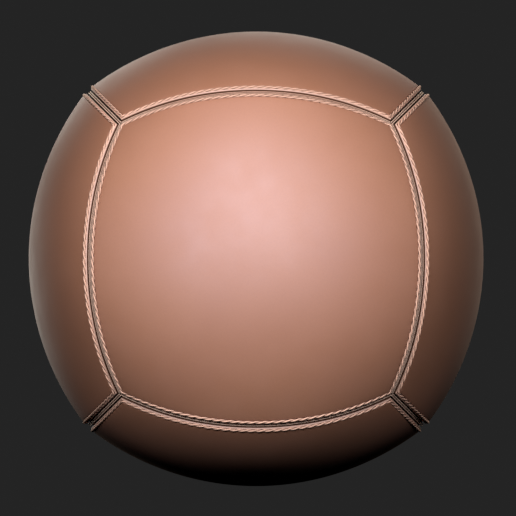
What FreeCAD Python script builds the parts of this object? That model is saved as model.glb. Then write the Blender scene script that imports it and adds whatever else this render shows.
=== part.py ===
import FreeCAD, Part
import math
import os

# Six-panel stitched leather medicine ball, about 28 cm across, stuffed with textile fibre.
# Frame: origin at the centre of the ball, +Z up, front panel towards -Y. Millimetres.

# Driving dimensions of the ball.
FACE_RADIUS = 140.0      # centre of the ball to the middle of each panel
SEAM_RISE = 0.049        # how much further out the seams lie, as a share of FACE_RADIUS
HALF_PANEL = math.radians(45.0)                    # panel centre to the middle of a seam
HALF_SEAM = math.atan(1.0 / math.sqrt(2.0))        # middle of a seam to its corner

# Outer skin.
LEATHER_THICKNESS = 3.0
LEATHER_EDGE = 1.85      # cut edge of a panel to the plane of its seam

# Stitching cord that runs round every panel, laid in a pressed channel.
CORD_RADIUS = 0.95
CORD_FROM_SEAM = 3.62    # cord centre to the plane of the seam
CORD_TOP = 147.15        # ball centre to the top of the cord
CHANNEL_PLAY = 0.1

# Welt strip in each seam: a leather strip with two thin lips that show between the panels.
LIP_TOP = 145.35
LIP_THICKNESS = 0.76
LIP_GAP = 0.4
FLANGE_HALF_WIDTH = 6.5

# Layers behind the leather, as depths below the outer surface.
LAYER_CLEARANCE = 0.2
FLANGE_THICKNESS = 0.8
TAPE_THICKNESS = 0.6
TAPE_HALF_WIDTH = 12.0
LINING_EDGE = 7.2        # edge of a lining to the plane of the seam
SEAM_END_GAP = 0.05      # half the gap where seam strips meet at a corner

# Patch behind each corner.
PATCH_OUTER_RADIUS = 140.4
PATCH_INNER_RADIUS = 139.7
PATCH_HALF_WIDTH = 16.0

# Stuffing.
PAD_CENTRE_RADIUS = 135.5
PAD_RISE = 0.028
PAD_INNER_RADIUS = 126.0
PAD_EDGE = 0.5
BAG_OUTER_RADIUS = 124.6
BAG_THICKNESS = 0.8
BAG_HALF_GAP = 0.1
BAG_CORD_RADIUS = 0.5
FILLING_RADIUS = 123.5

# Construction values.
SURFACE_POINTS = 11      # interpolation points along each side of a panel surface
OVERHANG = 1.06          # how far the uncut surfaces and strips run past their limits
PROFILE_STEPS = 4        # straight steps from the seam to the edge of a flange or tape
LIP_STEPS = 6            # straight steps over the rounded top of a lip
FAR = 220.0              # reach of the cutting pyramids

FLANGE_DEPTH = LEATHER_THICKNESS + LAYER_CLEARANCE
TAPE_DEPTH = FLANGE_DEPTH + FLANGE_THICKNESS + LAYER_CLEARANCE

CENTRE = FreeCAD.Vector(0, 0, 0)
X_AXIS = FreeCAD.Vector(1, 0, 0)
Y_AXIS = FreeCAD.Vector(0, 1, 0)
Z_AXIS = FreeCAD.Vector(0, 0, 1)

# Each panel is modelled facing +Z and turned to its side of the ball.
PANEL_TURNS = {
    "front": (X_AXIS, 90),
    "back": (X_AXIS, -90),
    "left": (Y_AXIS, -90),
    "right": (Y_AXIS, 90),
    "top": (X_AXIS, 0),
    "bottom": (X_AXIS, 180),
}


def crowned_radius(across, along, centre_radius, rise):
    """Radius at two angles from a panel's centre; it is the same all along the four seams."""
    a = (across / HALF_PANEL) ** 2
    b = (along / HALF_PANEL) ** 2
    return centre_radius * (1 + rise * (a + b - a * b))


def crowned_face(centre_radius, rise, depth):
    """Crowned square surface facing +Z, a little larger than a panel, lowered by depth."""
    rows = []
    for i in range(SURFACE_POINTS):
        across = HALF_PANEL * OVERHANG * (2 * i / (SURFACE_POINTS - 1) - 1)
        row = []
        for j in range(SURFACE_POINTS):
            along = HALF_PANEL * OVERHANG * (2 * j / (SURFACE_POINTS - 1) - 1)
            radius = crowned_radius(across, along, centre_radius, rise) - depth
            direction = FreeCAD.Vector(math.tan(across), math.tan(along), 1).normalize()
            row.append(direction * radius)
        rows.append(row)
    surface = Part.BSplineSurface()
    surface.interpolate(rows)
    return surface.toShape()


def solid_between(outer_face, inner_face):
    """Solid between two faces whose four borders match."""
    faces = [outer_face, inner_face]
    for outer_edge, inner_edge in zip(outer_face.Edges, inner_face.Edges):
        faces.append(Part.makeRuledSurface(outer_edge, inner_edge))
    shell = Part.makeShell(faces)
    shell.sewShape()
    solid = Part.makeSolid(shell)
    if solid.Volume < 0:
        solid.reverse()
    return solid


def pyramid(apex, corners):
    """Solid pyramid from its apex and the corners of its base."""
    faces = [Part.Face(Part.makePolygon(corners + corners[:1]))]
    for first, second in zip(corners, corners[1:] + corners[:1]):
        faces.append(Part.Face(Part.makePolygon([apex, first, second, apex])))
    solid = Part.makeSolid(Part.makeShell(faces))
    if solid.Volume < 0:
        solid.reverse()
    return solid


def panel_wedge(edge):
    """The space of the panel that faces +Z, its four planes set back by edge from the seams."""
    apex = FreeCAD.Vector(0, 0, edge * math.sqrt(2))
    reach = FAR - apex.z
    signs = [(-1, -1), (1, -1), (1, 1), (-1, 1)]
    corners = [FreeCAD.Vector(u * reach, v * reach, FAR) for u, v in signs]
    return pyramid(apex, corners)


def seam_wedge(gap):
    """The space of the seam strip that lies along +X, out to the corners at both of its ends."""
    apex = FreeCAD.Vector(2 * gap, 0, 0)
    reach = FAR - apex.x
    corners = [
        FreeCAD.Vector(FAR, -reach / math.sqrt(2), 0),
        FreeCAD.Vector(FAR, 0, -reach),
        FreeCAD.Vector(FAR, reach / math.sqrt(2), 0),
        FreeCAD.Vector(FAR, 0, reach),
    ]
    return pyramid(apex, corners)


def crowned_layer(outer, inner, edge):
    """Crowned square layer between two surfaces given as centre radius, rise and depth."""
    block = solid_between(crowned_face(*outer), crowned_face(*inner))
    return block.common(panel_wedge(edge))


def seam_point(radius, offset):
    """Point of a seam's cross-section: radius from the ball's centre, offset from the seam."""
    return FreeCAD.Vector(radius, 0, offset)


def seam_strip(profile, gap):
    """Strip with the given cross-section along one seam, mitred where three seams meet."""
    sweep = 2 * HALF_SEAM * OVERHANG * OVERHANG
    start = Part.Face(profile)
    start.rotate(CENTRE, Z_AXIS, -math.degrees(sweep) / 2)
    ring = start.revolve(CENTRE, Z_AXIS, math.degrees(sweep))
    return ring.common(seam_wedge(gap))


def layer_radius(offset, depth):
    """Distance from the seam's axis of a point at a given depth below the outer surface."""
    seam_radius = FACE_RADIUS * (1 + SEAM_RISE) - depth
    across = HALF_PANEL - math.asin(offset / seam_radius)
    radius = crowned_radius(across, 0.0, FACE_RADIUS, SEAM_RISE) - depth
    return math.sqrt(radius ** 2 - offset ** 2)


def layer_profile_points(half_width, depth, inner_offset):
    """Points of one side of a layer's top line, from its outer edge in to inner_offset."""
    points = []
    for i in range(PROFILE_STEPS + 1):
        offset = half_width + (inner_offset - half_width) * i / PROFILE_STEPS
        points.append(seam_point(layer_radius(offset, depth), offset))
    return points


def mirrored(points):
    """The same cross-section points on the other side of the seam, in reverse order."""
    return [seam_point(p.x, -p.z) for p in reversed(points)]


def leather_panel():
    """Crowned square of thick leather with a channel pressed round it for the stitching cord."""
    outer = (FACE_RADIUS, SEAM_RISE, 0.0)
    inner = (FACE_RADIUS, SEAM_RISE, LEATHER_THICKNESS)
    panel = crowned_layer(outer, inner, LEATHER_EDGE)
    return panel.cut(cord_loop(CORD_RADIUS + CHANNEL_PLAY))


def panel_lining():
    """Thin canvas behind a panel, ending short of the welt flanges."""
    outer = (FACE_RADIUS, SEAM_RISE, FLANGE_DEPTH)
    inner = (FACE_RADIUS, SEAM_RISE, FLANGE_DEPTH + FLANGE_THICKNESS)
    return crowned_layer(outer, inner, LINING_EDGE)


def wadding_pad():
    """Felted wadding between a panel and the inner bag."""
    outer = (PAD_CENTRE_RADIUS, PAD_RISE, 0.0)
    inner = (PAD_INNER_RADIUS, 0.0, 0.0)
    return crowned_layer(outer, inner, PAD_EDGE)


def cord_loop(radius):
    """Closed cord round the panel that faces +Z, parallel to its four seams, mitred at corners."""
    centre = seam_point(CORD_TOP - CORD_RADIUS, CORD_FROM_SEAM)
    section = Part.Wire(Part.makeCircle(radius, centre, Y_AXIS))
    side = seam_strip(section, 0.0)
    side.rotate(CENTRE, Y_AXIS, -45)
    sides = []
    for turn in range(4):
        copy = side.copy()
        copy.rotate(CENTRE, Z_AXIS, 90 * turn)
        sides.append(copy)
    return sides[0].multiFuse(sides[1:]).removeSplitter()


def lip_points(middle, foot_radius):
    """One lip of the welt from foot to foot: up, over its rounded top and down."""
    half = LIP_THICKNESS / 2
    points = [seam_point(foot_radius, middle + half)]
    for i in range(LIP_STEPS + 1):
        angle = math.pi * i / LIP_STEPS
        radius = LIP_TOP - half + half * math.sin(angle)
        points.append(seam_point(radius, middle + half * math.cos(angle)))
    points.append(seam_point(foot_radius, middle - half))
    return points


def seam_welt():
    """Strip sewn into a seam: a flange under both panels and two thin lips between them."""
    lip_middle = (LIP_GAP + LIP_THICKNESS) / 2
    lip_side = LIP_GAP / 2 + LIP_THICKNESS
    top = layer_profile_points(FLANGE_HALF_WIDTH, FLANGE_DEPTH, lip_side)
    bottom = layer_profile_points(FLANGE_HALF_WIDTH, FLANGE_DEPTH + FLANGE_THICKNESS, 0.0)
    half_top = top[:-1] + lip_points(lip_middle, top[-1].x)
    outline = half_top + mirrored(half_top) + list(reversed(mirrored(bottom)))
    outline += list(reversed(bottom))[1:] + top[:1]
    return seam_strip(Part.makePolygon(outline), SEAM_END_GAP)


def seam_tape():
    """Cotton tape that backs a seam, covering the welt flange and the edges of two linings."""
    top = layer_profile_points(TAPE_HALF_WIDTH, TAPE_DEPTH, 0.0)
    bottom = layer_profile_points(TAPE_HALF_WIDTH, TAPE_DEPTH + TAPE_THICKNESS, 0.0)
    outline = top + mirrored(top)[1:] + list(reversed(mirrored(bottom)))
    outline += list(reversed(bottom))[1:] + top[:1]
    return seam_strip(Part.makePolygon(outline), SEAM_END_GAP)


def spherical_shell(outer_radius, inner_radius):
    """Whole hollow sphere about the ball's centre."""
    return Part.makeSphere(outer_radius).cut(Part.makeSphere(inner_radius))


def corner_patches():
    """Eight round leather patches, one behind each corner where three seams meet."""
    shell = spherical_shell(PATCH_OUTER_RADIUS, PATCH_INNER_RADIUS)
    patches = []
    for x in (-1, 1):
        for y in (-1, 1):
            for z in (-1, 1):
                direction = FreeCAD.Vector(x, y, z)
                punch = Part.makeCylinder(PATCH_HALF_WIDTH, FAR, CENTRE, direction)
                patches.append(shell.common(punch))
    return Part.makeCompound(patches)


def inner_bag_half(side):
    """Half of the cotton bag that holds the filling; side is +1 for the upper half."""
    shell = spherical_shell(BAG_OUTER_RADIUS, BAG_OUTER_RADIUS - BAG_THICKNESS)
    corner = FreeCAD.Vector(-FAR, -FAR, BAG_HALF_GAP if side > 0 else -BAG_HALF_GAP - FAR)
    half_space = Part.makeBox(2 * FAR, 2 * FAR, FAR, corner)
    return shell.common(half_space)


def inner_bag_cord():
    """Cord that closes the bag round its middle."""
    ring_radius = BAG_OUTER_RADIUS + LAYER_CLEARANCE + BAG_CORD_RADIUS
    return Part.makeTorus(ring_radius, BAG_CORD_RADIUS)


def textile_filling():
    """Tightly packed textile fibre."""
    return Part.makeSphere(FILLING_RADIUS)


def write_part(name, shape):
    """Write one sub-part to its own file."""
    shape.exportStep("parts/" + name + ".step")


def write_panel_parts(prefix, shape):
    """Write one copy of a panel's layer for each of the six panels."""
    for side, (axis, angle) in PANEL_TURNS.items():
        copy = shape.copy()
        copy.rotate(CENTRE, axis, angle)
        write_part(prefix + "_" + side, copy)


def outward(side):
    """Direction that a panel faces."""
    axis, angle = PANEL_TURNS[side]
    return FreeCAD.Rotation(axis, angle).multVec(Z_AXIS)


def write_seam_parts(prefix, shape):
    """Write one copy of a seam's strip for each of the twelve seams."""
    sides = list(PANEL_TURNS)
    for i, first in enumerate(sides):
        for second in sides[i + 1:]:
            if outward(first).dot(outward(second)) < -0.5:
                continue
            middle = outward(first) + outward(second)
            across = outward(first) - outward(second)
            turn = FreeCAD.Rotation(middle, across.cross(middle), across, "XZY")
            copy = shape.copy()
            copy.Placement = FreeCAD.Placement(CENTRE, turn)
            write_part(prefix + "_" + first + "_" + second, copy)


os.makedirs("parts", exist_ok=True)
write_panel_parts("leather_panel", leather_panel())
write_panel_parts("edge_stitching", cord_loop(CORD_RADIUS))
write_panel_parts("panel_lining", panel_lining())
write_panel_parts("wadding_pad", wadding_pad())
write_seam_parts("seam_welt", seam_welt())
write_seam_parts("seam_tape", seam_tape())
write_part("corner_patches", corner_patches())
write_part("inner_bag_upper", inner_bag_half(1))
write_part("inner_bag_lower", inner_bag_half(-1))
write_part("inner_bag_cord", inner_bag_cord())
write_part("textile_filling", textile_filling())
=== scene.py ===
import math

import bmesh
import bpy
import numpy as np
from mathutils import Matrix, Vector


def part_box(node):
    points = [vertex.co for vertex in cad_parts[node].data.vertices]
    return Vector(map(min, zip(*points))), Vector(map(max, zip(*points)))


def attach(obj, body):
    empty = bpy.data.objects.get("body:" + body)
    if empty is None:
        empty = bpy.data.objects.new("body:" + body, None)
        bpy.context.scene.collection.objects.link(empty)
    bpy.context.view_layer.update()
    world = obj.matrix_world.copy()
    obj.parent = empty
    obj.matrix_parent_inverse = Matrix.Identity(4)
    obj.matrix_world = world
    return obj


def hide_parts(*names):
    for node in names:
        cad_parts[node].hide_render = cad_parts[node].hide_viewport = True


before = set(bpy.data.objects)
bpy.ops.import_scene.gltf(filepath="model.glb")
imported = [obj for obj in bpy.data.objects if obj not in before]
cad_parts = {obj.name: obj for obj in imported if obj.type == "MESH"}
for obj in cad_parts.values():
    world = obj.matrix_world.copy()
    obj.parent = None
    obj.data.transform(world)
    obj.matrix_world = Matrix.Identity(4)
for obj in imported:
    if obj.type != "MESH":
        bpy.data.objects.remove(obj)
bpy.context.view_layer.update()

# Six-panel stitched leather medicine ball. Everything is in metres, origin at the ball's centre,
# +Z up, front panel towards -Y. Outlines are in millimetres and are multiplied by MM.
MM = 0.001
FACE_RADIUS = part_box("leather_panel_top")[1][2]    # ball's centre to a panel's centre
SEAM_RISE = 0.049         # how much further out the seams lie, as a share of FACE_RADIUS
CORNER_DROP = 0.004       # how much the stitching pulls the corners in again, as a share
CORNER_FOCUS = 4          # power that keeps that pull close to the corners
HALF_PANEL = math.pi / 4  # angle from a panel's centre to its seams
SETTLE_ROUNDS = 12        # rounds in which a grid settles on distances from its seams

# Leather panels: the edge from the underside up over its roll, across the cord's channel and the
# crease beside it, as (distance from the seam, height over the crowned surface).
EDGE_OUTLINE = [
    (2.30, -3.00), (1.90, -2.60), (1.85, -1.80), (1.87, -1.26), (2.05, -0.84), (2.36, -0.54),
    (2.70, -0.48), (2.94, -0.70), (3.20, -1.12), (3.62, -1.46), (4.00, -1.30), (4.28, -0.80),
    (4.52, -0.34), (4.86, -0.13), (5.60, -0.04), (7.00, 0.00), (10.0, 0.00),
]
OUTLINE_STEPS = 3         # mesh columns from one outline point to the next
PANEL_COLUMNS = 121       # mesh columns across the open part of a panel
UNDERSIDE_STRIDE = 4      # the underside has one column for this many on the face
LEATHER_THICKNESS = 3.0 * MM
OPEN_LEATHER = 1.0        # stands for the distance to a seam in the open part, where none is near

# Painted shade and highlight on a panel's edge. Places and widths count the points of EDGE_OUTLINE.
ROLL_BURNISH_HIGHLIGHT = (5.2, 1.9)       # middle and width of the roll, lighter for burnish and painted highlight
# Painted shade on the roll's wall down into the groove, fading out towards GROOVE_DARK_END.
GROOVE_DARK_END = 4.1
GROOVE_DARK_FADE = 1.4
CREASE_SHADE = (10.4, 1.8)      # middle and width of the painted shade in the crease outside the cord
CREASE_DARKNESS = 0.6

# Small folds that each stitch draws in the leather, and long unevenness of the stuffing.
PUCKER_START = 4.9 * MM   # distance from the seam
PUCKER_REACH = 2.6 * MM
PUCKER_RISE = 0.4 * PUCKER_REACH
PUCKER_DEPTH = 0.10 * MM
PUCKER_FADE = 12          # how fast the folds end before a corner
SWELL = 0.10 * MM
SWELL_WAVES = [           # wave's direction and waves per ball radius, and its phase
    ((7.1, 4.3, 0.0), 1.0),
    ((0.0, 6.2, -5.4), 2.3),
    ((3.7, 0.0, 8.3), 4.1),
]

# Stitching cord: two strands twisted together, with this many stitches along each seam.
STITCHES = 33
CORD_FROM_SEAM = 3.62 * MM
CORD_CENTRE = 146.20 * MM
STRAND_RADIUS = 0.465 * MM
STRAND_OFFSET = 0.41 * MM
STRAND_SWELL = 0.12       # how much thicker a strand is on top of the cord than underneath
STEPS_PER_STITCH = 10
STRAND_SIDES = 9
CORNER_ROUNDING = 0.9 * MM
ROUNDING_STEPS = 12       # path steps to each side that the rounding looks at
HOLLOW_START = 0.61 * MM  # from the cord's middle, where the painted shade between its strands begins
HOLLOW_DEPTH = 0.28 * MM

# Welt, in millimetres: distances from the seam, then distances from the ball's centre.
LIP_MIDDLE = 0.58
LIP_HALF = 0.38
LIP_TOP = 145.35
LIP_NECK = 144.30
LIP_FOOT = 143.45
WELT_FLANGE = [(6.5, 142.0), (6.5, 142.75), (3.6, 143.15)]
WELT_UNDERSIDE = [(-3.3, 142.4), (0.0, 142.65), (3.3, 142.4)]
GAP_DARK_TOP = 145.24     # where the painted shade at the foot ends, in the gap between the lips
GROOVE_DARK_TOP = 145.00  # and outside them
WELT_DARK_FADE = 0.35
LIP_STEPS = 10
WELT_STEPS = 150
WELT_END_GAP = 0.02 * MM

SIDES = {
    "front": ("X", 90),
    "back": ("X", -90),
    "left": ("Y", -90),
    "right": ("Y", 90),
    "top": ("X", 0),
    "bottom": ("X", 180),
}


def side_turn(side):
    """Rotation that takes a panel facing +Z to its side of the ball."""
    axis, angle = SIDES[side]
    return np.array(Matrix.Rotation(math.radians(angle), 3, axis))


def seams():
    """Every pair of sides that meet in a seam, with the seam's rotation from the X axis."""
    names = list(SIDES)
    for i, first in enumerate(names):
        for second in names[i + 1:]:
            a, b = side_turn(first)[:, 2], side_turn(second)[:, 2]
            if a @ b < -0.5:
                continue
            middle = (a + b) / math.sqrt(2)
            across = (a - b) / math.sqrt(2)
            yield first, second, np.column_stack([middle, np.cross(across, middle), across])


def corner_pull(points):
    """The outer skin with its corners drawn in a little, as tight stitching does."""
    radius = np.linalg.norm(points, axis=-1, keepdims=True)
    direction = points / radius
    nearness = np.abs(direction.prod(axis=-1, keepdims=True)) * math.sqrt(27)   # 1 at a corner
    return points * (1 - CORNER_DROP * nearness ** CORNER_FOCUS)


def crown(across, along):
    """Nothing at a panel's centre and one on its seams, at tangents across and along."""
    a = (np.arctan(across) / HALF_PANEL) ** 2
    b = (np.arctan(along) / HALF_PANEL) ** 2
    return a + b - a * b


def crowned_radius(across, along):
    """Radius of the outer surface at tangents across and along from a panel's centre."""
    return FACE_RADIUS * (1 + SEAM_RISE * crown(across, along))


def smooth_outline(points, steps):
    """A smooth curve through the points, with the given number of steps between each two."""
    p = np.array(points, float)
    padded = np.vstack([2 * p[0] - p[1], p, 2 * p[-1] - p[-2]])
    curve = []
    for before, start, end, after in zip(padded, padded[1:], padded[2:], padded[3:]):
        for k in range(steps):
            u = k / steps
            curve.append(
                0.5 * (2 * start + (end - before) * u
                       + (2 * before - 5 * start + 4 * end - after) * u ** 2
                       + (3 * start - before - 3 * end + after) * u ** 3)
            )
    curve.append(p[-1])
    return np.array(curve)


def bell(values, middle, width):
    """One at the middle, falling smoothly to nothing."""
    return np.exp(-((values - middle) / width) ** 2)


def grid_faces(rows, columns):
    """Quads of a grid whose vertices are numbered row by row."""
    i, j = np.meshgrid(np.arange(rows - 1), np.arange(columns - 1), indexing="ij")
    first = (i * columns + j).ravel()
    return np.stack([first, first + columns, first + columns + 1, first + 1], 1)


def new_piece(name, node, points, faces, material, attributes=None):
    """A mesh object that stands for a CAD node and rides with it."""
    mesh = bpy.data.meshes.new(name)
    mesh.from_pydata(np.asarray(points).tolist(), [], [list(map(int, f)) for f in faces])
    for key, values in (attributes or {}).items():
        layer = mesh.attributes.new(key, "FLOAT", "POINT")
        layer.data.foreach_set("value", np.asarray(values, float).ravel())
    mesh.shade_smooth()
    mesh.update()
    mesh.materials.append(material)
    piece = bpy.data.objects.new(name, mesh)
    bpy.context.collection.objects.link(piece)
    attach(piece, "root")
    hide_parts(node)
    return piece


# ---------------------------------------------------------------------------------- panels

def panel_columns():
    """Each mesh column's distance from the nearer seam, height over the crowned surface, number
    counted from the panel's edge, and place across the open part from -1 to 1."""
    strip = smooth_outline(EDGE_OUTLINE, OUTLINE_STEPS) * MM
    count = len(strip)
    total = 2 * (count - 1) + PANEL_COLUMNS
    index = np.arange(total)
    level = np.minimum(index, total - 1 - index)
    place = np.clip((index - (count - 1)) / (PANEL_COLUMNS - 1) * 2 - 1, -1, 1)
    level = np.minimum(level, count - 1)
    return strip[level, 0], strip[level, 1], level, place


def panel_points(distance, height, level, place, stride=1, sink=0.0):
    """Grid of points of one panel facing +Z, each column parallel to its nearer seam."""
    d, h, lv, pl = distance[::stride], height[::stride], level[::stride], place[::stride]
    strip_width = distance[level.argmax()]
    x = np.repeat(pl[:, None], len(pl), 1)
    y = x.T.copy()
    lowest = np.minimum(lv[:, None], lv[None, :])
    table = np.zeros(level.max() + 1)
    table[lv] = h
    relief = table[lowest] - sink
    for _ in range(SETTLE_ROUNDS):
        depth = (crowned_radius(x, y) + relief) / np.sqrt(1 + x * x + y * y)
        x_new = column_tangent(d[:, None], lv[:, None], pl[:, None], depth, strip_width)
        y_new = column_tangent(d[None, :], lv[None, :], pl[None, :], depth, strip_width)
        x, y = x_new, y_new
    depth = (crowned_radius(x, y) + relief) / np.sqrt(1 + x * x + y * y)
    return np.stack([x * depth, y * depth, depth], -1), lowest


def column_tangent(distance, level, place, depth, strip_width):
    """Tangent at which a column stands: a set distance from its seam, or shared out between."""
    at_seam = 1 - math.sqrt(2) * distance / depth
    strip_end = 1 - math.sqrt(2) * strip_width / depth
    between = np.tan(place * np.arctan(strip_end))
    return np.where(level < level.max(), np.sign(place) * at_seam, between)


def place_along_seam(points):
    """How many stitches each point lies from the middle of its nearest seam, and what share of the
    way from there to the corner that is."""
    x, y, z = np.abs(points[..., 0]), np.abs(points[..., 1]), points[..., 2]
    far, near = np.maximum(x, y), np.minimum(x, y)
    angle = np.arctan2(near, (far + z) / math.sqrt(2))
    share = angle / math.atan(1 / math.sqrt(2))
    return share * STITCHES / 2, share


def pucker(points, distance):
    """Height of the small folds that each stitch draws in the leather beside the cord."""
    stitches, share = place_along_seam(points)
    wave = 0.5 + 0.5 * np.cos(2 * math.pi * (stitches + 0.5))
    outer = bell(distance, PUCKER_START, PUCKER_REACH)
    inner = bell(distance, PUCKER_START, PUCKER_RISE)
    depth = PUCKER_DEPTH * np.where(distance > PUCKER_START, outer, inner)
    return -depth * wave * np.clip((1 - share) * PUCKER_FADE, 0, 1)


def swell(points):
    """Long soft unevenness of a stuffed skin."""
    place = points / FACE_RADIUS
    waves = sum(np.sin(place @ np.array(direction) + phase) for direction, phase in SWELL_WAVES)
    return SWELL * waves / len(SWELL_WAVES)


def moved_out(points, height):
    """Points moved along their radii."""
    radius = np.linalg.norm(points, axis=-1)
    return points * (1 + height / radius)[..., None]


def rim_faces(outer_ring, inner_ring, stride):
    """Faces that join a fine closed ring to a coarse one with one vertex for stride of its."""
    faces = []
    count, half = len(inner_ring), stride // 2
    for k in range(count):
        inner, inner_next = inner_ring[k], inner_ring[(k + 1) % count]
        o = [outer_ring[(stride * k + m) % len(outer_ring)] for m in range(stride + 1)]
        faces += [(o[m + 1], o[m], inner) for m in range(half)]
        faces.append((inner_next, o[half], inner))
        faces += [(o[m + 1], o[m], inner_next) for m in range(half, stride)]
    return faces


def ring_of(rows, offset=0):
    """Border vertices of a square grid, in order round it."""
    grid = np.arange(rows * rows).reshape(rows, rows) + offset
    return list(grid[:-1, 0]) + list(grid[-1, :-1]) + list(grid[:0:-1, -1]) + list(grid[0, :0:-1])


def panel_mesh():
    """Points and faces of the panel facing +Z, and each point's place on EDGE_OUTLINE."""
    distance, height, level, place = panel_columns()
    face, lowest = panel_points(distance, height, level, place)
    table = np.zeros(level.max() + 1)
    table[level] = distance
    from_seam = np.where(lowest < level.max(), table[lowest], OPEN_LEATHER)
    face = moved_out(face, pucker(face, from_seam))
    under, _ = panel_points(distance, 0 * height, level, place, UNDERSIDE_STRIDE, LEATHER_THICKNESS)
    rows, under_rows = len(face), len(under)
    faces = list(map(tuple, grid_faces(rows, rows)[:, ::-1]))
    under_faces = grid_faces(under_rows, under_rows) + rows * rows
    faces += list(map(tuple, under_faces))
    faces += rim_faces(ring_of(rows), ring_of(under_rows, rows * rows), UNDERSIDE_STRIDE)
    points = np.vstack([face.reshape(-1, 3), under.reshape(-1, 3)])
    order = np.concatenate([lowest.ravel() / OUTLINE_STEPS, np.zeros(under_rows ** 2)])
    return points, faces, order


def build_panels(material):
    """The six leather panels."""
    points, faces, order = panel_mesh()
    # The roll lighter, part burnish and part painted highlight.
    burnish_highlight = bell(order, *ROLL_BURNISH_HIGHLIGHT)
    # Painted shade in the groove and in the crease outside the cord.
    groove = np.clip((GROOVE_DARK_END - order) / GROOVE_DARK_FADE, 0, 1)
    dark = groove + CREASE_DARKNESS * bell(order, *CREASE_SHADE)
    for side in SIDES:
        placed = points @ side_turn(side).T
        placed = corner_pull(moved_out(placed, swell(placed)))
        name = "leather_skin_" + side
        piece = new_piece(
            name, "leather_panel_" + side, placed, faces, material,
            {"burnish_highlight": burnish_highlight, "dark": np.clip(dark, 0, 1)},
        )


# ----------------------------------------------------------------------------------- cords

def mitre_angle(offset, radius):
    """Half the angle that a line spans at an offset from a seam, from mitre to mitre."""
    return np.arccos(np.abs(offset) / (radius * math.sqrt(3))) - math.atan(math.sqrt(2))


def seam_points(offset, radius, angle):
    """Points beside the seam that lies along +X: offset from its plane, radius and angle on it."""
    offset = np.broadcast_to(offset, np.shape(angle))
    return np.stack([radius * np.cos(angle), radius * np.sin(angle), offset], -1)


def cord_path():
    """Closed centre line of the cord round the panel facing +Z."""
    reach = mitre_angle(CORD_FROM_SEAM, CORD_CENTRE)
    count = STITCHES * STEPS_PER_STITCH
    angle = (np.arange(count) / count * 2 - 1) * reach
    side = seam_points(CORD_FROM_SEAM, CORD_CENTRE, angle)
    side = side @ np.array(Matrix.Rotation(math.radians(-45), 3, "Y")).T
    quarters = [np.array(Matrix.Rotation(math.radians(90 * k), 3, "Z")) for k in range(4)]
    path = np.vstack([side @ quarter.T for quarter in quarters])
    spacing = np.linalg.norm(path[1] - path[0])
    steps = np.arange(-ROUNDING_STEPS, ROUNDING_STEPS + 1)
    kernel = np.exp(-0.5 * (steps * spacing / CORNER_ROUNDING) ** 2)
    kernel /= kernel.sum()
    wrapped = np.vstack([path[-ROUNDING_STEPS:], path, path[:ROUNDING_STEPS]])
    return np.stack([np.convolve(wrapped[:, k], kernel, "valid") for k in range(3)], 1)


def unit(vectors):
    """Vectors at length one."""
    return vectors / np.linalg.norm(vectors, axis=-1, keepdims=True)


def closed_tube(centre, outward, radius, sides):
    """Points and faces of a tube round a closed line. Outward gives the tube's upper side and
    radius how thick it is, both at each point of the line."""
    along = unit(np.roll(centre, -1, 0) - np.roll(centre, 1, 0))
    up = unit(outward - (outward * along).sum(1, keepdims=True) * along)
    across = np.cross(along, up)
    angle = 2 * math.pi * np.arange(sides) / sides
    spokes = np.cos(angle)[:, None] * up[:, None] + np.sin(angle)[:, None] * across[:, None]
    rings = centre[:, None] + radius[:, None, None] * spokes
    count = len(centre)
    i, j = np.meshgrid(np.arange(count), np.arange(sides), indexing="ij")
    i2, j2 = (i + 1) % count, (j + 1) % sides
    faces = np.stack([i * sides + j, i * sides + j2, i2 * sides + j2, i2 * sides + j], -1)
    return rings.reshape(-1, 3), faces.reshape(-1, 4)


def cord_mesh():
    """Points and faces of the two twisted strands of one cord, and where painted shade darkens the
    hollows between them.
    """
    path = cord_path()
    outward = unit(path)
    along = unit(np.roll(path, -1, 0) - np.roll(path, 1, 0))
    across = np.cross(along, outward)
    turn = -math.pi * np.arange(len(path)) / STEPS_PER_STITCH
    points, faces, hollow_shade = [], [], []
    for phase in (0, math.pi):
        angle = (turn + phase)[:, None]
        centre = path + STRAND_OFFSET * (np.cos(angle) * outward + np.sin(angle) * across)
        radius = STRAND_RADIUS * (1 + STRAND_SWELL * np.cos(angle[:, 0]))
        strand, quads = closed_tube(centre, outward, radius, STRAND_SIDES)
        from_middle = np.linalg.norm(strand - np.repeat(path, STRAND_SIDES, 0), axis=1)
        faces.append(quads + sum(map(len, points)))
        points.append(strand)
        hollow_shade.append(np.clip((HOLLOW_START - from_middle) / HOLLOW_DEPTH, 0, 1))
    return np.vstack(points), np.vstack(faces), np.concatenate(hollow_shade)


def build_cords(material):
    """The six cords, one round each panel."""
    points, faces, hollow_shade = cord_mesh()
    for side in SIDES:
        placed = corner_pull(points @ side_turn(side).T)
        new_piece("twisted_cord_" + side, "edge_stitching_" + side,
                  placed, faces, material, {"hollow_shade": hollow_shade})


# ----------------------------------------------------------------------------------- welts

def welt_section():
    """Closed section of a welt, and how much painted shade each of its points has."""
    lip = [(LIP_MIDDLE + LIP_HALF, LIP_FOOT), (LIP_MIDDLE + LIP_HALF, LIP_NECK)]
    for i in range(LIP_STEPS + 1):
        angle = math.pi * i / LIP_STEPS
        lip.append((LIP_MIDDLE + LIP_HALF * math.cos(angle),
                    LIP_TOP - LIP_HALF + LIP_HALF * math.sin(angle)))
    lip += [(LIP_MIDDLE - LIP_HALF, LIP_NECK), (LIP_MIDDLE - LIP_HALF, LIP_FOOT)]
    half = WELT_FLANGE + lip
    mirrored = [(-offset, radius) for offset, radius in reversed(half)]
    section = np.array(half + mirrored + WELT_UNDERSIDE)
    # Painted shade deep in the gap and the groove.
    inside = np.abs(section[:, 0]) < LIP_MIDDLE
    dark_top = np.where(inside, GAP_DARK_TOP, GROOVE_DARK_TOP)
    dark = np.clip((dark_top - section[:, 1]) / WELT_DARK_FADE, 0, 1)
    return section * MM, dark


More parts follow.
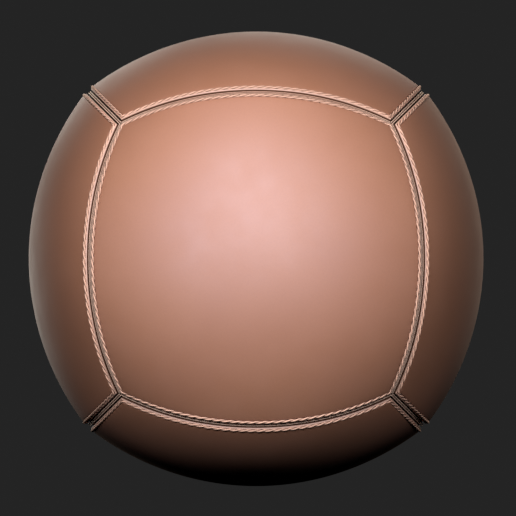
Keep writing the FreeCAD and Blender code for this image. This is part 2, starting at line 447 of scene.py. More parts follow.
def strip_mesh(section, steps, gap):
    """Points and faces of a strip with a closed section along the seam on the X axis."""
    offset, radius = section[:, 0], section[:, 1]
    reach = mitre_angle(offset, radius) - gap / radius
    share = np.linspace(-1, 1, steps + 1)
    points = seam_points(offset[None, :], radius[None, :], share[:, None] * reach[None, :])
    count = len(section)
    i, j = np.meshgrid(np.arange(steps), np.arange(count), indexing="ij")
    j2 = (j + 1) % count
    near, far = i * count, (i + 1) * count
    faces = np.stack([near + j, near + j2, far + j2, far + j], -1)
    quads = [tuple(f) for f in faces.reshape(-1, 4)]
    quads.append(tuple(range(count))[::-1])
    quads.append(tuple(range(steps * count, (steps + 1) * count)))
    return points.reshape(-1, 3), quads


def build_welts(material):
    """The twelve welts."""
    section, dark = welt_section()
    points, faces = strip_mesh(section, WELT_STEPS, WELT_END_GAP)
    for first, second, turn in seams():
        pair = first + "_" + second
        placed = corner_pull(points @ turn.T)
        new_piece("welt_lips_" + pair, "seam_welt_" + pair, placed, faces,
                  material, {"dark": np.tile(dark, WELT_STEPS + 1)})


# ------------------------------------------------------------------------- stuffing and lining

CLOTH_WAVE = 0.05 * MM     # unevenness of glued cloth
LUMP_WAVES = range(1, 5)

LINING_EDGE = 7.6 * MM     # edge of a lining to its seam
LINING_DEPTH = 3.30 * MM   # outer skin to the canvas's face
LINING_FLAT = 0.206
LINING_COLUMNS = 61
LINING_WAVE_SIZE = 6.0 * MM
CANVAS_THICKNESS = 0.55 * MM

TAPE_HALF_WIDTH = 11.8     # millimetres, like the depths below
TAPE_DEPTH = 4.28          # outer skin to the tape's face
TAPE_THICKNESS = 0.42
TAPE_FLAT_LENGTH = 0.176
TAPE_STEPS = 60
TAPE_COLUMNS = 13
TAPE_WAVE_SIZE = 4.0 * MM
TAPE_END_GAP = 0.1 * MM

PAD_FACE = 135.3 * MM      # ball's centre to the middle of a pad's outer face
PAD_RISE = 0.028           # how much further out a pad's edges reach, as a share
PAD_BACK = 126.2 * MM
PAD_EDGE = 0.8 * MM        # edge of a pad to its seam
PAD_COLUMNS = 49
PAD_LUMPS = 0.5 * MM
PAD_LUMP_SIZE = 9.0 * MM

BAG_RADIUS = 124.15 * MM
BAG_CLOTH = 0.4 * MM
BAG_PLEATS = 44
BAG_PLEAT_DEPTH = 0.22 * MM
BAG_PLEAT_FOCUS = 6        # power that keeps the pleats near the hem
BAG_PLEAT_DRIFT = (7, 0.6)  # waves round the bag that crowd and spread the pleats, and how far
BAG_AROUND = 264
BAG_RINGS = 48
BAG_EDGE = 0.0022          # the bag's hem to the middle plane, as an angle
BAG_CORD_RING = 125.3 * MM
BAG_CORD_STRAND = 0.26 * MM
BAG_CORD_OFFSET = 0.22 * MM
BAG_CORD_TURNS = 160
BAG_CORD_STEPS = 8         # for each turn
BAG_CORD_SIDES = 7

FILLING_RADIUS = 123.2 * MM
FILLING_CREASE = 3.5 * MM
FILLING_DETAIL = 6
FOLD_SIZE = 0.16           # sizes of rags, small folds and tufts, as shares of the radius
SMALL_FOLD_SIZE = 0.06
TUFT_SIZE = 0.018
FOLD_WIDTH = 0.12
TUFT_SHARE = 0.2           # tufts' part of the creases' depth


def even_grid(edge, columns, depth, radius_at):
    """Grid facing +Z with its border a set distance from the seams; radius_at gives its radii."""
    place = np.linspace(-1, 1, columns)
    x = np.repeat(place[:, None], columns, 1)
    y = x.T.copy()
    for _ in range(SETTLE_ROUNDS):
        z = (radius_at(x, y) - depth) / np.sqrt(1 + x * x + y * y)
        reach = np.arctan(1 - math.sqrt(2) * edge / z)
        x, y = np.tan(place[:, None] * reach), np.tan(place[None, :] * reach)
    z = (radius_at(x, y) - depth) / np.sqrt(1 + x * x + y * y)
    return np.stack([x * z, y * z, z], -1)


def cloth_threads(columns, width):
    """Distances along a square cloth's warp and weft at the points of both faces of a layer."""
    along = np.linspace(-width / 2, width / 2, columns)
    warp, weft = np.meshgrid(along, along, indexing="ij")
    return {"warp": np.tile(warp.ravel(), 2), "weft": np.tile(weft.ravel(), 2)}


def closed_layer(outer, inner):
    """Points and faces of the solid between two square grids of the same size."""
    rows = len(outer)
    quads = grid_faces(rows, rows)
    faces = list(map(tuple, quads[:, ::-1])) + list(map(tuple, quads + rows * rows))
    upper, lower = ring_of(rows), ring_of(rows, rows * rows)
    for k in range(len(upper)):
        following = (k + 1) % len(upper)
        faces.append((upper[following], upper[k], lower[k], lower[following]))
    return np.vstack([outer.reshape(-1, 3), inner.reshape(-1, 3)]), faces


def lumps(points, size, seed):
    """Soft unevenness from -1 to 1 with lumps about the given size: sine waves added up, whose
    directions, lengths and phases are chosen only to be unlike each other."""
    place = points / size
    total = np.zeros(points.shape[:-1])
    for k in LUMP_WAVES:
        phase = seed * 1.7 + k
        total += np.sin(place @ np.array([1.0, 0.31 * k, -0.47]) * (0.7 + 0.35 * k) + phase)
        total += np.sin(place @ np.array([-0.38, 0.9, 0.27 * k]) * (0.8 + 0.3 * k) + 2.3 * phase)
    return total / (2 * len(LUMP_WAVES))


def build_linings(material):
    """The six canvas linings, each with the slight waves of glued cloth."""
    outer = even_grid(LINING_EDGE, LINING_COLUMNS, LINING_DEPTH, crowned_radius)
    inner = even_grid(LINING_EDGE, LINING_COLUMNS, LINING_DEPTH + CANVAS_THICKNESS, crowned_radius)
    for number, side in enumerate(SIDES):
        wave = CLOTH_WAVE * lumps(outer, LINING_WAVE_SIZE, seed=number)
        points, faces = closed_layer(moved_out(outer, wave), moved_out(inner, wave))
        piece = new_piece("canvas_lining_" + side, "panel_lining_" + side,
                          points @ side_turn(side).T, faces, material,
                          cloth_threads(LINING_COLUMNS, LINING_FLAT))


def build_pads(material):
    """The six pads of felted wadding."""
    def face_radius(x, y):
        return PAD_FACE * (1 + PAD_RISE * crown(x, y))

    def back_radius(x, _):
        return np.full(x.shape, PAD_BACK)

    face = even_grid(PAD_EDGE, PAD_COLUMNS, 0.0, face_radius)
    back = even_grid(PAD_EDGE, PAD_COLUMNS, 0.0, back_radius)
    for number, side in enumerate(SIDES):
        face_lumps = lumps(face, PAD_LUMP_SIZE, seed=number)
        back_lumps = lumps(back, PAD_LUMP_SIZE, seed=number + 9)
        outer = moved_out(face, PAD_LUMPS * (face_lumps - 1) / 2)
        inner = moved_out(back, PAD_LUMPS * (back_lumps + 1) / 2)
        points, faces = closed_layer(outer, inner)
        piece = new_piece("felt_pad_" + side, "wadding_pad_" + side,
                          points @ side_turn(side).T, faces, material)


def layer_radius(offset, depth):
    """Distance from a seam's axis of a point in a layer at a depth under the skin, both in mm."""
    seam_radius = FACE_RADIUS / MM * (1 + SEAM_RISE) - depth
    tangent = np.tan(HALF_PANEL - np.arcsin(np.abs(offset) / seam_radius))
    radius = crowned_radius(tangent, 0.0) / MM - depth
    return np.sqrt(radius ** 2 - offset ** 2)


def build_tapes(material):
    """The twelve cotton tapes behind the seams."""
    offset = np.linspace(TAPE_HALF_WIDTH, -TAPE_HALF_WIDTH, TAPE_COLUMNS)
    upper = np.stack([offset, layer_radius(offset, TAPE_DEPTH)], 1)
    lower = np.stack([offset, layer_radius(offset, TAPE_DEPTH + TAPE_THICKNESS)], 1)[::-1]
    points, faces = strip_mesh(np.vstack([upper, lower]) * MM, TAPE_STEPS, TAPE_END_GAP)
    warp = np.repeat(np.linspace(0.0, TAPE_FLAT_LENGTH, TAPE_STEPS + 1), 2 * len(offset))
    weft = np.tile(np.concatenate([offset, offset[::-1]]) * MM, TAPE_STEPS + 1)
    for first, second, turn in seams():
        pair = first + "_" + second
        placed = moved_out(points, CLOTH_WAVE * lumps(points @ turn.T, TAPE_WAVE_SIZE, seed=3))
        piece = new_piece("cotton_tape_" + pair, "seam_tape_" + pair,
                          placed @ turn.T, faces, material, {"warp": warp, "weft": weft})


def bag_shell(direction, radius, sign):
    """Points of one face of half of the bag: its pole, then ring after ring."""
    pole = [[0, 0, sign * radius[0].mean()]]
    return np.vstack([pole, (direction * radius[..., None]).reshape(-1, 3)])


def bag_shell_faces(start, outward):
    """Faces of one face of the bag, whose points are numbered from start."""
    faces = []
    for k in range(BAG_AROUND):
        following = (k + 1) % BAG_AROUND
        faces.append((start, start + 1 + k, start + 1 + following))
        for ring in range(BAG_RINGS - 1):
            a = start + 1 + ring * BAG_AROUND
            b = a + BAG_AROUND
            faces.append((a + k, b + k, b + following, a + following))
    return faces if outward else [face[::-1] for face in faces]


def bag_hem_faces(outward):
    """Faces that join the outer and inner face of the cloth at its hem."""
    outer = 1 + (BAG_RINGS - 1) * BAG_AROUND
    inner = outer + BAG_RINGS * BAG_AROUND + 1
    faces = []
    for k in range(BAG_AROUND):
        following = (k + 1) % BAG_AROUND
        faces.append((outer + k, inner + k, inner + following, outer + following))
    return faces if outward else [face[::-1] for face in faces]


def bag_cloth(sign):
    """Points, faces and threads of half of the bag, whose pleats deepen towards its hem."""
    polar = np.linspace(0.0, math.pi / 2 - BAG_EDGE, BAG_RINGS + 1)[1:]
    around = 2 * math.pi * np.arange(BAG_AROUND) / BAG_AROUND
    polar, around = np.meshgrid(polar, around, indexing="ij")
    gather = (polar / (math.pi / 2)) ** BAG_PLEAT_FOCUS
    drift_waves, drift = BAG_PLEAT_DRIFT
    crowding = drift * np.sin(drift_waves * around)
    pleat = BAG_PLEAT_DEPTH * gather * np.sin(BAG_PLEATS * around + crowding)
    level = np.stack([np.cos(around), np.sin(around)], -1)
    direction = np.concatenate([np.sin(polar)[..., None] * level,
                                sign * np.cos(polar)[..., None]], -1)
    flat = (polar[..., None] * level * BAG_RADIUS).reshape(-1, 2)
    threads = {"warp": np.tile(np.append(0.0, flat[:, 0]), 2),
               "weft": np.tile(np.append(0.0, flat[:, 1]), 2)}
    outer = bag_shell(direction, BAG_RADIUS + pleat + BAG_CLOTH / 2, sign)
    inner = bag_shell(direction, BAG_RADIUS + pleat - BAG_CLOTH / 2, sign)
    faces = bag_shell_faces(0, sign > 0) + bag_shell_faces(len(outer), sign < 0)
    return np.vstack([outer, inner]), faces + bag_hem_faces(sign > 0), threads


def build_bag(material):
    """Both halves of the inner bag."""
    for name, sign in (("upper", 1), ("lower", -1)):
        points, faces, threads = bag_cloth(sign)
        piece = new_piece("gathered_bag_" + name, "inner_bag_" + name, points, faces,
                          material, threads)


def build_bag_cord(material):
    """The twisted cord that closes the two halves of the bag."""
    count = BAG_CORD_TURNS * BAG_CORD_STEPS
    angle = 2 * math.pi * np.arange(count) / count
    outward = np.stack([np.cos(angle), np.sin(angle), 0 * angle], 1)
    upward = np.array([[0.0, 0.0, 1.0]])
    points, faces = [], []
    for phase in (0, math.pi):
        twist = (BAG_CORD_TURNS * angle + phase)[:, None]
        aside = BAG_CORD_OFFSET * (np.cos(twist) * outward + np.sin(twist) * upward)
        strand, quads = closed_tube(BAG_CORD_RING * outward + aside, outward,
                                    np.full(count, BAG_CORD_STRAND), BAG_CORD_SIDES)
        faces.append(quads + sum(map(len, points)))
        points.append(strand)
    new_piece("twisted_bag_cord", "inner_bag_cord", np.vstack(points),
              np.vstack(faces), material)


def build_filling(material):
    """Tightly packed textile: a round lump of rags with creases between them."""
    ball = bmesh.new()
    bmesh.ops.create_icosphere(ball, subdivisions=FILLING_DETAIL, radius=1.0)
    direction = np.array([v.co[:] for v in ball.verts])
    faces = [[v.index for v in f.verts] for f in ball.faces]
    ball.free()
    rags = np.abs(lumps(direction, FOLD_SIZE, seed=2))
    folds = np.abs(lumps(direction, SMALL_FOLD_SIZE, seed=5)) / 2
    crease = bell(rags + folds, 0.0, FOLD_WIDTH)
    tufts = (1 + lumps(direction, TUFT_SIZE, seed=8)) / 2
    depth = FILLING_CREASE * ((1 - TUFT_SHARE) * crease + TUFT_SHARE * tufts)
    piece = new_piece("packed_rags", "textile_filling",
                      direction * (FILLING_RADIUS - depth)[:, None], faces, material)


# ------------------------------------------------------------------------------- materials

# Colours are linear red, green and blue. OWN is the plain colour; the paler colour after it is
# painted light, reached towards the bottom and the outline.
LEATHER_DEEP = (0.430, 0.181, 0.094)
LEATHER_LIGHT = (0.460, 0.198, 0.103)
LEATHER_PORES = (0.35, 0.15, 0.082)
# Painted shade in the groove beside each seam and in the crease outside the cord.
LEATHER_PAINTED_SHADE = (0.105, 0.046, 0.026)
LEATHER_GLOSS_TINT = (0.68, 0.74, 1.0, 1.0)
# The roll lighter than the panel: part burnish, part painted highlight.
ROLL_OWN = (0.62, 0.385, 0.28)
ROLL_PAINTED_LIGHT = (0.97, 0.61, 0.46)
CORD_OWN = (0.66, 0.39, 0.295)
CORD_PAINTED_LIGHT = (1.0, 0.61, 0.465)
CORD_STAIN = (0.30, 0.16, 0.11)
# Painted shade between the cord's strands.
CORD_PAINTED_SHADE = (0.20, 0.10, 0.07)
WELT_OWN = (0.43, 0.235, 0.17)
WELT_PAINTED_LIGHT = (1.0, 0.70, 0.56)
WELT_STAIN = (0.25, 0.15, 0.11)
# Painted shade in the welt's foot, down in the groove and in the gap between the lips.
WELT_PAINTED_SHADE = (0.060, 0.027, 0.015)
CANVAS_YARN = (0.66, 0.60, 0.47)
CANVAS_YARN_GAPS = (0.42, 0.37, 0.27)
TAPE_YARN = (0.70, 0.65, 0.54)
TAPE_YARN_GAPS = (0.48, 0.43, 0.33)
BAG_YARN = (0.72, 0.66, 0.54)
BAG_YARN_GAPS = (0.50, 0.45, 0.35)
BAG_CORD_FIBRE = (0.60, 0.52, 0.38)
BAG_CORD_SHADE = (0.34, 0.27, 0.17)
FELT_FIBRE = (0.52, 0.48, 0.42)
FELT_SHADE = (0.30, 0.27, 0.23)
RAG_FIBRE = (0.44, 0.41, 0.42)
RAG_SHADE = (0.16, 0.15, 0.19)
PATCH_FIBRE = (0.40, 0.28, 0.20)
PATCH_SHADE = (0.25, 0.16, 0.11)
FLOOR_DEEP = (0.60, 0.59, 0.57)
FLOOR_LIGHT = (0.64, 0.63, 0.61)

# Fineness of patches, pores and fibres, as the scale of their noise.
LEATHER_CLOUDS = 14.0
LEATHER_GLOSS_PATCHES = 60.0
LEATHER_PEBBLES = 620.0
LEATHER_PORE_GRAIN = 900.0
LEATHER_FINE_GRAIN = 2400.0
CORD_STAINS = 260.0
CORD_GRAIN = 3000.0
WELT_STAINS = 300.0
WELT_GRAIN = 1800.0
BAG_CORD_GRAIN = 900.0
FELT_GRAIN = 260.0
RAG_GRAIN = 120.0
PATCH_GRAIN = 700.0
FLOOR_CLOUDS = 3.0
NOISE_LOW = 0.3           # nearly all of a noise texture lies between these two
NOISE_HIGH = 0.7
PORE_RANGE = (0.35, 0.6)  # the stretch of noise that goes from a pore to the leather round it
PORE_STRENGTH = 0.15      # how far a pore takes on its own colour
CORD_STAINING = 0.16      # how far the darkest stains take on theirs
WELT_STAINING = 0.2
FIBRE_RANGE = (0.35, 0.65)    # the stretch of noise that goes from shade to fibre
GRAIN_DETAIL = 2.0        # how many finer layers a noise has
STAIN_DETAIL = 3.0
CLOUD_DETAIL = 4.0
FIBRE_DETAIL = 8.0

# Bumps: their strength and how high they stand.
PEBBLE_BUMP = (0.10, 0.3 * MM)
LEATHER_GRAIN_BUMP = (0.06, 0.1 * MM)
CORD_BUMP = (0.15, 0.2 * MM)
WELT_BUMP = (0.1, 0.2 * MM)
FIBRE_BUMP = (0.6, 1.0 * MM)
YARN_BUMP = 0.5           # strength alone; a yarn stands a quarter of its thread's width high

# Painted light on rolls, cords and welts: paler towards the bottom and towards the outline seen
# from the front.
PAINTED_LIGHT_HEIGHT = 0.104       # height of the front panel's upper seam over the ball's centre
OUTLINE_LIGHT_START = 0.108  # distances from the front-back axis
OUTLINE_LIGHT_END = 0.124
LEATHER_SHEEN = 0.95      # specular level of the leather, and of its grooves and creases where shade is painted
LEATHER_SHADE_SHEEN = 0.1
LEATHER_ROUGHNESS = (0.61, 0.67)
LEATHER_IOR = 1.8
# Specular level of the welt, and of its foot where shade is painted.
WELT_SHEEN = 0.5
WELT_SHADE_SHEEN = 0.05
WELT_ROUGHNESS = 0.55
CORD_ROUGHNESS = 0.6
WAXED_IOR = 1.6           # welt and cord
CLOTH_ROUGHNESS = 0.9
FIBRE_ROUGHNESS = 0.95
YARN_SHADE = 0.4          # how far the yarn on top at every second crossing is darkened
CANVAS_THREAD = 1.7 * MM  # widths of the threads in the woven cloths
TAPE_THREAD = 1.3 * MM
BAG_THREAD = 1.5 * MM

MIX_FIRST = 6             # the colour sockets of a Mix node, which share their names with others
MIX_SECOND = 7
MIX_RESULT = 2


def new_material(name):
    """A node material with a single Principled shader."""
    material = bpy.data.materials.new(name)
    material.use_nodes = True
    return material, material.node_tree, material.node_tree.nodes["Principled BSDF"]


def add(tree, kind, **settings):
    """A node with its settings; a setting that names an input gives its value."""
    node = tree.nodes.new(kind)
    for key, value in settings.items():
        if key in node.inputs:
            node.inputs[key].default_value = value
        else:
            setattr(node, key, value)
    return node


def noise(tree, coordinates, scale, detail):
    """Value of a noise texture in the object's own space."""
    node = add(tree, "ShaderNodeTexNoise", Scale=scale, Detail=detail)
    tree.links.new(coordinates, node.inputs["Vector"])
    return node.outputs["Fac"]


def ranged(tree, value, low, high, to_low, to_high):
    """A value carried from one range to another."""
    node = add(tree, "ShaderNodeMapRange")
    limits = {"From Min": low, "From Max": high, "To Min": to_low, "To Max": to_high}
    for key, number in limits.items():
        node.inputs[key].default_value = number
    tree.links.new(value, node.inputs["Value"])
    return node.outputs["Result"]


def patchy(tree, coordinates, scale, detail, least, most):
    """Noise spread out over the values from least to most."""
    return ranged(tree, noise(tree, coordinates, scale, detail), NOISE_LOW, NOISE_HIGH, least, most)


def mixed(tree, factor, first, second):
    """Colour between first and second; each is a colour or another node's output."""
    node = add(tree, "ShaderNodeMix", data_type="RGBA")
    tree.links.new(factor, node.inputs["Factor"])
    for socket, colour in ((node.inputs[MIX_FIRST], first), (node.inputs[MIX_SECOND], second)):
        if isinstance(colour, tuple):
            socket.default_value = (*colour, 1.0)
        else:
            tree.links.new(colour, socket)
    return node.outputs[MIX_RESULT]


def bumped(tree, shader, layers):
    """Bump on a shader from (height, strength, distance in metres) layers, coarse ones first."""
    normal = None
    for height, strength, distance in layers:
        node = add(tree, "ShaderNodeBump", Strength=strength, Distance=distance)
        tree.links.new(height, node.inputs["Height"])
        if normal is not None:
            tree.links.new(normal, node.inputs["Normal"])
        normal = node.outputs["Normal"]
    tree.links.new(normal, shader.inputs["Normal"])


def object_space(tree):
    """Coordinates in the object's own space, which is the ball's."""
    return add(tree, "ShaderNodeTexCoord").outputs["Object"]


def attribute(tree, name):
    """A value stored on the mesh."""
    return add(tree, "ShaderNodeAttribute", attribute_name=name).outputs["Fac"]


def calculated(tree, operation, first, second=None):
    """Result of a Math node; each value is a number or another node's output."""
    node = add(tree, "ShaderNodeMath", operation=operation)
    for socket, value in zip(node.inputs, (first, second)):
        if isinstance(value, float):
            socket.default_value = value
        elif value is not None:
            tree.links.new(value, socket)
    return node.outputs["Value"]


def painted_light_lift(tree, coordinates):
    """Painted light: how far an edge is lightened, most towards the underside and far from the
    front-back axis.
    """
    split = add(tree, "ShaderNodeSeparateXYZ")
    tree.links.new(coordinates, split.inputs["Vector"])
    low = ranged(tree, split.outputs["Z"], -PAINTED_LIGHT_HEIGHT, PAINTED_LIGHT_HEIGHT, 1.0, 0.0)
    flat = add(tree, "ShaderNodeVectorMath", operation="MULTIPLY")
    flat.inputs[1].default_value = (1.0, 0.0, 1.0)
    tree.links.new(coordinates, flat.inputs[0])
    length = add(tree, "ShaderNodeVectorMath", operation="LENGTH")
    tree.links.new(flat.outputs["Vector"], length.inputs[0])
    out = ranged(tree, length.outputs["Value"], OUTLINE_LIGHT_START, OUTLINE_LIGHT_END, 0.0, 1.0)
    return calculated(tree, "MAXIMUM", low, out)


def cells(tree, coordinates, scale):
    """Distance to the edge of leather's pebble cells."""
    node = add(tree, "ShaderNodeTexVoronoi", feature="DISTANCE_TO_EDGE", Scale=scale)
    tree.links.new(coordinates, node.inputs["Vector"])
    return node.outputs["Distance"]


def panel_leather():
    """Smooth terracotta cowhide; its rolled edges lighter, part burnish and part painted highlight,
    lifted further by painted light towards the bottom and the outline, with painted shade in its
    grooves and creases.
    """
    material, tree, shader = new_material("panel_leather")
    space = object_space(tree)
    clouds = patchy(tree, space, LEATHER_CLOUDS, CLOUD_DETAIL, 0.0, 1.0)
    tone = mixed(tree, clouds, LEATHER_DEEP, LEATHER_LIGHT)
    pores = ranged(tree, noise(tree, space, LEATHER_PORE_GRAIN, GRAIN_DETAIL), *PORE_RANGE,
                   1.0 - PORE_STRENGTH, 1.0)
    deeper = mixed(tree, pores, LEATHER_PORES, tone)
    # The roll's lighter colour: burnish and painted highlight, lifted by painted light towards the
    # bottom and the outline.
    lit_roll = mixed(tree, painted_light_lift(tree, space), ROLL_OWN, ROLL_PAINTED_LIGHT)
    edge = mixed(tree, attribute(tree, "burnish_highlight"), deeper, lit_roll)
    # Painted shade: groove wall and crease darkened where shade falls, with less sheen there.
    colour = mixed(tree, attribute(tree, "dark"), edge, LEATHER_PAINTED_SHADE)
    tree.links.new(colour, shader.inputs["Base Color"])
    sheen = ranged(tree, attribute(tree, "dark"), 0.0, 1.0, LEATHER_SHEEN, LEATHER_SHADE_SHEEN)
    tree.links.new(sheen, shader.inputs["Specular IOR Level"])
    rough = patchy(tree, space, LEATHER_GLOSS_PATCHES, CLOUD_DETAIL, *LEATHER_ROUGHNESS)
    tree.links.new(rough, shader.inputs["Roughness"])
    shader.inputs["IOR"].default_value = LEATHER_IOR
    shader.inputs["Specular Tint"].default_value = LEATHER_GLOSS_TINT
    bumped(tree, shader, [
        (cells(tree, space, LEATHER_PEBBLES), *PEBBLE_BUMP),
        (noise(tree, space, LEATHER_FINE_GRAIN, GRAIN_DETAIL), *LEATHER_GRAIN_BUMP),
    ])
    return material


def stitching_cord():
    """Waxed light cord, paler towards the bottom and the outline by painted light, with painted
    shade between its strands.
    """
    material, tree, shader = new_material("stitching_cord")
    space = object_space(tree)
    # Painted light: the cord paler towards the bottom and the outline.
    tone = mixed(tree, painted_light_lift(tree, space), CORD_OWN, CORD_PAINTED_LIGHT)
    stains = patchy(tree, space, CORD_STAINS, STAIN_DETAIL, 0.0, CORD_STAINING)
    tone = mixed(tree, stains, tone, CORD_STAIN)
    # Painted shade in the hollows between the strands.
    colour = mixed(tree, attribute(tree, "hollow_shade"), tone, CORD_PAINTED_SHADE)
    tree.links.new(colour, shader.inputs["Base Color"])
    shader.inputs["Roughness"].default_value = CORD_ROUGHNESS
    shader.inputs["IOR"].default_value = WAXED_IOR
    bumped(tree, shader, [(noise(tree, space, CORD_GRAIN, STAIN_DETAIL), *CORD_BUMP)])
    return material


def welt_leather():
    """Greyish tan leather strip, its lips lightened by painted light towards the bottom and the
    outline, with painted shade at its foot.
    """
    material, tree, shader = new_material("welt_leather")
    space = object_space(tree)
    # Painted light: the lips paler towards the bottom and the outline.
    tone = mixed(tree, painted_light_lift(tree, space), WELT_OWN, WELT_PAINTED_LIGHT)
    stains = patchy(tree, space, WELT_STAINS, STAIN_DETAIL, 0.0, WELT_STAINING)
    tone = mixed(tree, stains, tone, WELT_STAIN)
    # Painted shade: the foot darkened where shade falls, with less sheen there.
    colour = mixed(tree, attribute(tree, "dark"), tone, WELT_PAINTED_SHADE)
    tree.links.new(colour, shader.inputs["Base Color"])
    sheen = ranged(tree, attribute(tree, "dark"), 0.0, 1.0, WELT_SHEEN, WELT_SHADE_SHEEN)
    tree.links.new(sheen, shader.inputs["Specular IOR Level"])
    shader.inputs["Roughness"].default_value = WELT_ROUGHNESS
    shader.inputs["IOR"].default_value = WAXED_IOR
    bumped(tree, shader, [(noise(tree, space, WELT_GRAIN, STAIN_DETAIL), *WELT_BUMP)])
    return material


def thread_wave(tree, direction, thread):
    """Sine along the warp or the weft, with a half wave to each thread."""
    angle = calculated(tree, "MULTIPLY", attribute(tree, direction), math.pi / thread)
    return calculated(tree, "SINE", angle)


def woven(name, light, dark, thread):
    """Plain woven cloth with threads of the given width in metres."""
    material, tree, shader = new_material(name)
    warp, weft = thread_wave(tree, "warp", thread), thread_wave(tree, "weft", thread)
    crossing = calculated(tree, "MULTIPLY", warp, weft)
    height = calculated(tree, "SQRT", calculated(tree, "ABSOLUTE", crossing))
    yarn = mixed(tree, ranged(tree, crossing, -1.0, 1.0, 0.0, YARN_SHADE), light, dark)
    tree.links.new(mixed(tree, height, dark, yarn), shader.inputs["Base Color"])
    shader.inputs["Roughness"].default_value = CLOTH_ROUGHNESS
    bumped(tree, shader, [(height, YARN_BUMP, thread / 4)])
    return material


def fibrous(name, light, dark, scale):
    """Felt, cord or loose fibre."""
    material, tree, shader = new_material(name)
    space = object_space(tree)
    fibres = noise(tree, space, scale, FIBRE_DETAIL)
    colour = mixed(tree, ranged(tree, fibres, *FIBRE_RANGE, 0.0, 1.0), dark, light)
    tree.links.new(colour, shader.inputs["Base Color"])
    shader.inputs["Roughness"].default_value = FIBRE_ROUGHNESS
    bumped(tree, shader, [(fibres, *FIBRE_BUMP)])
    return material


def finish_patches():
    """Rough split leather on the patches behind the corners, the one CAD node that stays."""
    leather = fibrous("patch_leather", PATCH_FIBRE, PATCH_SHADE, PATCH_GRAIN)
    for slot in bpy.data.objects["corner_patches"].material_slots:
        slot.material = leather


# ---------------------------------------------------------------------- floor, lights, camera

FLOOR_SIZE = 8.0
FLOOR_ROUGHNESS = 0.85
STUDIO_GREY = 0.0178      # backdrop, which only the camera sees

WHITE = (1.0, 1.0, 1.0)
WARM = (1.0, 0.94, 0.88)
CREAM = (1.0, 0.92, 0.76)
AMBER = (1.0, 0.76, 0.54)

# Name, azimuth, elevation, distance from the ball's centre, diameter, power, colour.
LAMPS = [
    ("key_left", -18.8, 8.7, 0.634, 0.14, 1.573, WHITE),
    ("key_right", 16.7, 8.6, 0.605, 0.14, 1.153, WHITE),
    ("key_top", -2.3, 30.9, 0.468, 0.14, 0.860, WARM),
    ("rim_left", -144.6, -2.0, 0.63, 0.28, 0.68, CREAM),
    ("rim_left_high", -154.1, 26.0, 0.63, 0.28, 1.06, CREAM),
    ("rim_right", 148.0, 4.0, 0.77, 0.40, 0.46, AMBER),
    ("rim_right_high", 154.0, 28.0, 0.70, 0.40, 0.50, AMBER),
    ("rim_top", 174.0, 35.7, 0.63, 0.28, 0.70, CREAM),
]
# Broad lamp overhead, for the floor and the shadow on it.
FLOOR_LAMP = ("floor_lamp", 0.0, 80.0, 2.2, 2.4, 75.0, WHITE)

BALL_RADIUS_IN_VIEW = 0.44031   # radius of a panel's centre, as a share of the view's width
CAMERA_PLACE = (1.2 * MM, -1.0, 0.5 * MM)


def build_floor():
    """Plain pale floor that the ball rests on."""
    half = FLOOR_SIZE / 2
    mesh = bpy.data.meshes.new("studio_floor")
    level = -FACE_RADIUS
    corners = [(-half, -half), (half, -half), (half, half), (-half, half)]
    mesh.from_pydata([(*corner, level) for corner in corners], [], [(0, 1, 2, 3)])
    floor = bpy.data.objects.new("studio_floor", mesh)
    bpy.context.collection.objects.link(floor)
    material, tree, shader = new_material("pale_floor")
    clouds = noise(tree, object_space(tree), FLOOR_CLOUDS, STAIN_DETAIL)
    tone = mixed(tree, clouds, FLOOR_DEEP, FLOOR_LIGHT)
    tree.links.new(tone, shader.inputs["Base Color"])
    shader.inputs["Roughness"].default_value = FLOOR_ROUGHNESS
    mesh.materials.append(material)
    floor.visible_diffuse = False
    floor.visible_glossy = False
    return floor


def softbox(name, azimuth, elevation, distance, size, power, colour):
    """Round area light aimed at the ball; azimuth 0 is in front of it and 90 at its right."""
    a, e = math.radians(azimuth), math.radians(elevation)
    direction = Vector((math.sin(a) * math.cos(e), -math.cos(a) * math.cos(e), math.sin(e)))
    lamp = bpy.data.lights.new(name, "AREA")
    lamp.shape = "DISK"
    lamp.size = size
    lamp.energy = power
    lamp.color = colour
    light = bpy.data.objects.new(name, lamp)
    light.location = direction * distance
    light.rotation_mode = "QUATERNION"
    light.rotation_quaternion = direction.to_track_quat("Z", "Y")
    light.visible_camera = False
    bpy.context.collection.objects.link(light)
    return light


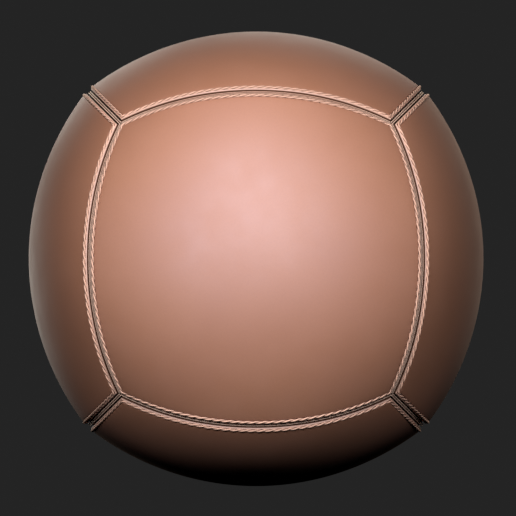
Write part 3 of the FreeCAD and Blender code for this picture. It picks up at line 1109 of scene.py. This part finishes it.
def receivers(name, floor, state):
    """Collection that says whether a lamp lights the floor alone or all but the floor."""
    group = bpy.data.collections.new(name)
    group.objects.link(floor)
    group.collection_objects[0].light_linking.link_state = state
    return group


def build_lights(floor):
    """Three near soft keys beside the camera, rims from above and behind, and the floor's lamp."""
    ball_only = receivers("all_but_floor", floor, "EXCLUDE")
    for lamp in LAMPS:
        softbox(*lamp).light_linking.receiver_collection = ball_only
    floor_only = receivers("floor_alone", floor, "INCLUDE")
    softbox(*FLOOR_LAMP).light_linking.receiver_collection = floor_only
    world = bpy.data.worlds.new("studio")
    world.use_nodes = True
    background = world.node_tree.nodes["Background"]
    background.inputs["Color"].default_value = (STUDIO_GREY, STUDIO_GREY, STUDIO_GREY, 1.0)
    bpy.context.scene.world = world
    world.cycles_visibility.diffuse = False
    world.cycles_visibility.glossy = False


def build_camera():
    """Level camera straight in front, with no perspective."""
    camera = bpy.data.cameras.new("camera")
    camera.type = "ORTHO"
    camera.ortho_scale = FACE_RADIUS / BALL_RADIUS_IN_VIEW
    holder = bpy.data.objects.new("camera", camera)
    holder.location = CAMERA_PLACE
    holder.rotation_euler = (math.pi / 2, 0, 0)
    bpy.context.collection.objects.link(holder)
    bpy.context.scene.camera = holder
    bpy.context.scene.view_settings.view_transform = "Standard"


build_camera()
build_lights(build_floor())
build_panels(panel_leather())
build_cords(stitching_cord())
build_welts(welt_leather())
build_linings(woven("lining_canvas", CANVAS_YARN, CANVAS_YARN_GAPS, CANVAS_THREAD))
build_tapes(woven("tape_cotton", TAPE_YARN, TAPE_YARN_GAPS, TAPE_THREAD))
build_pads(fibrous("wadding_felt", FELT_FIBRE, FELT_SHADE, FELT_GRAIN))
build_bag(woven("bag_cotton", BAG_YARN, BAG_YARN_GAPS, BAG_THREAD))
build_bag_cord(fibrous("bag_cord", BAG_CORD_FIBRE, BAG_CORD_SHADE, BAG_CORD_GRAIN))
build_filling(fibrous("filling_fibre", RAG_FIBRE, RAG_SHADE, RAG_GRAIN))
finish_patches()
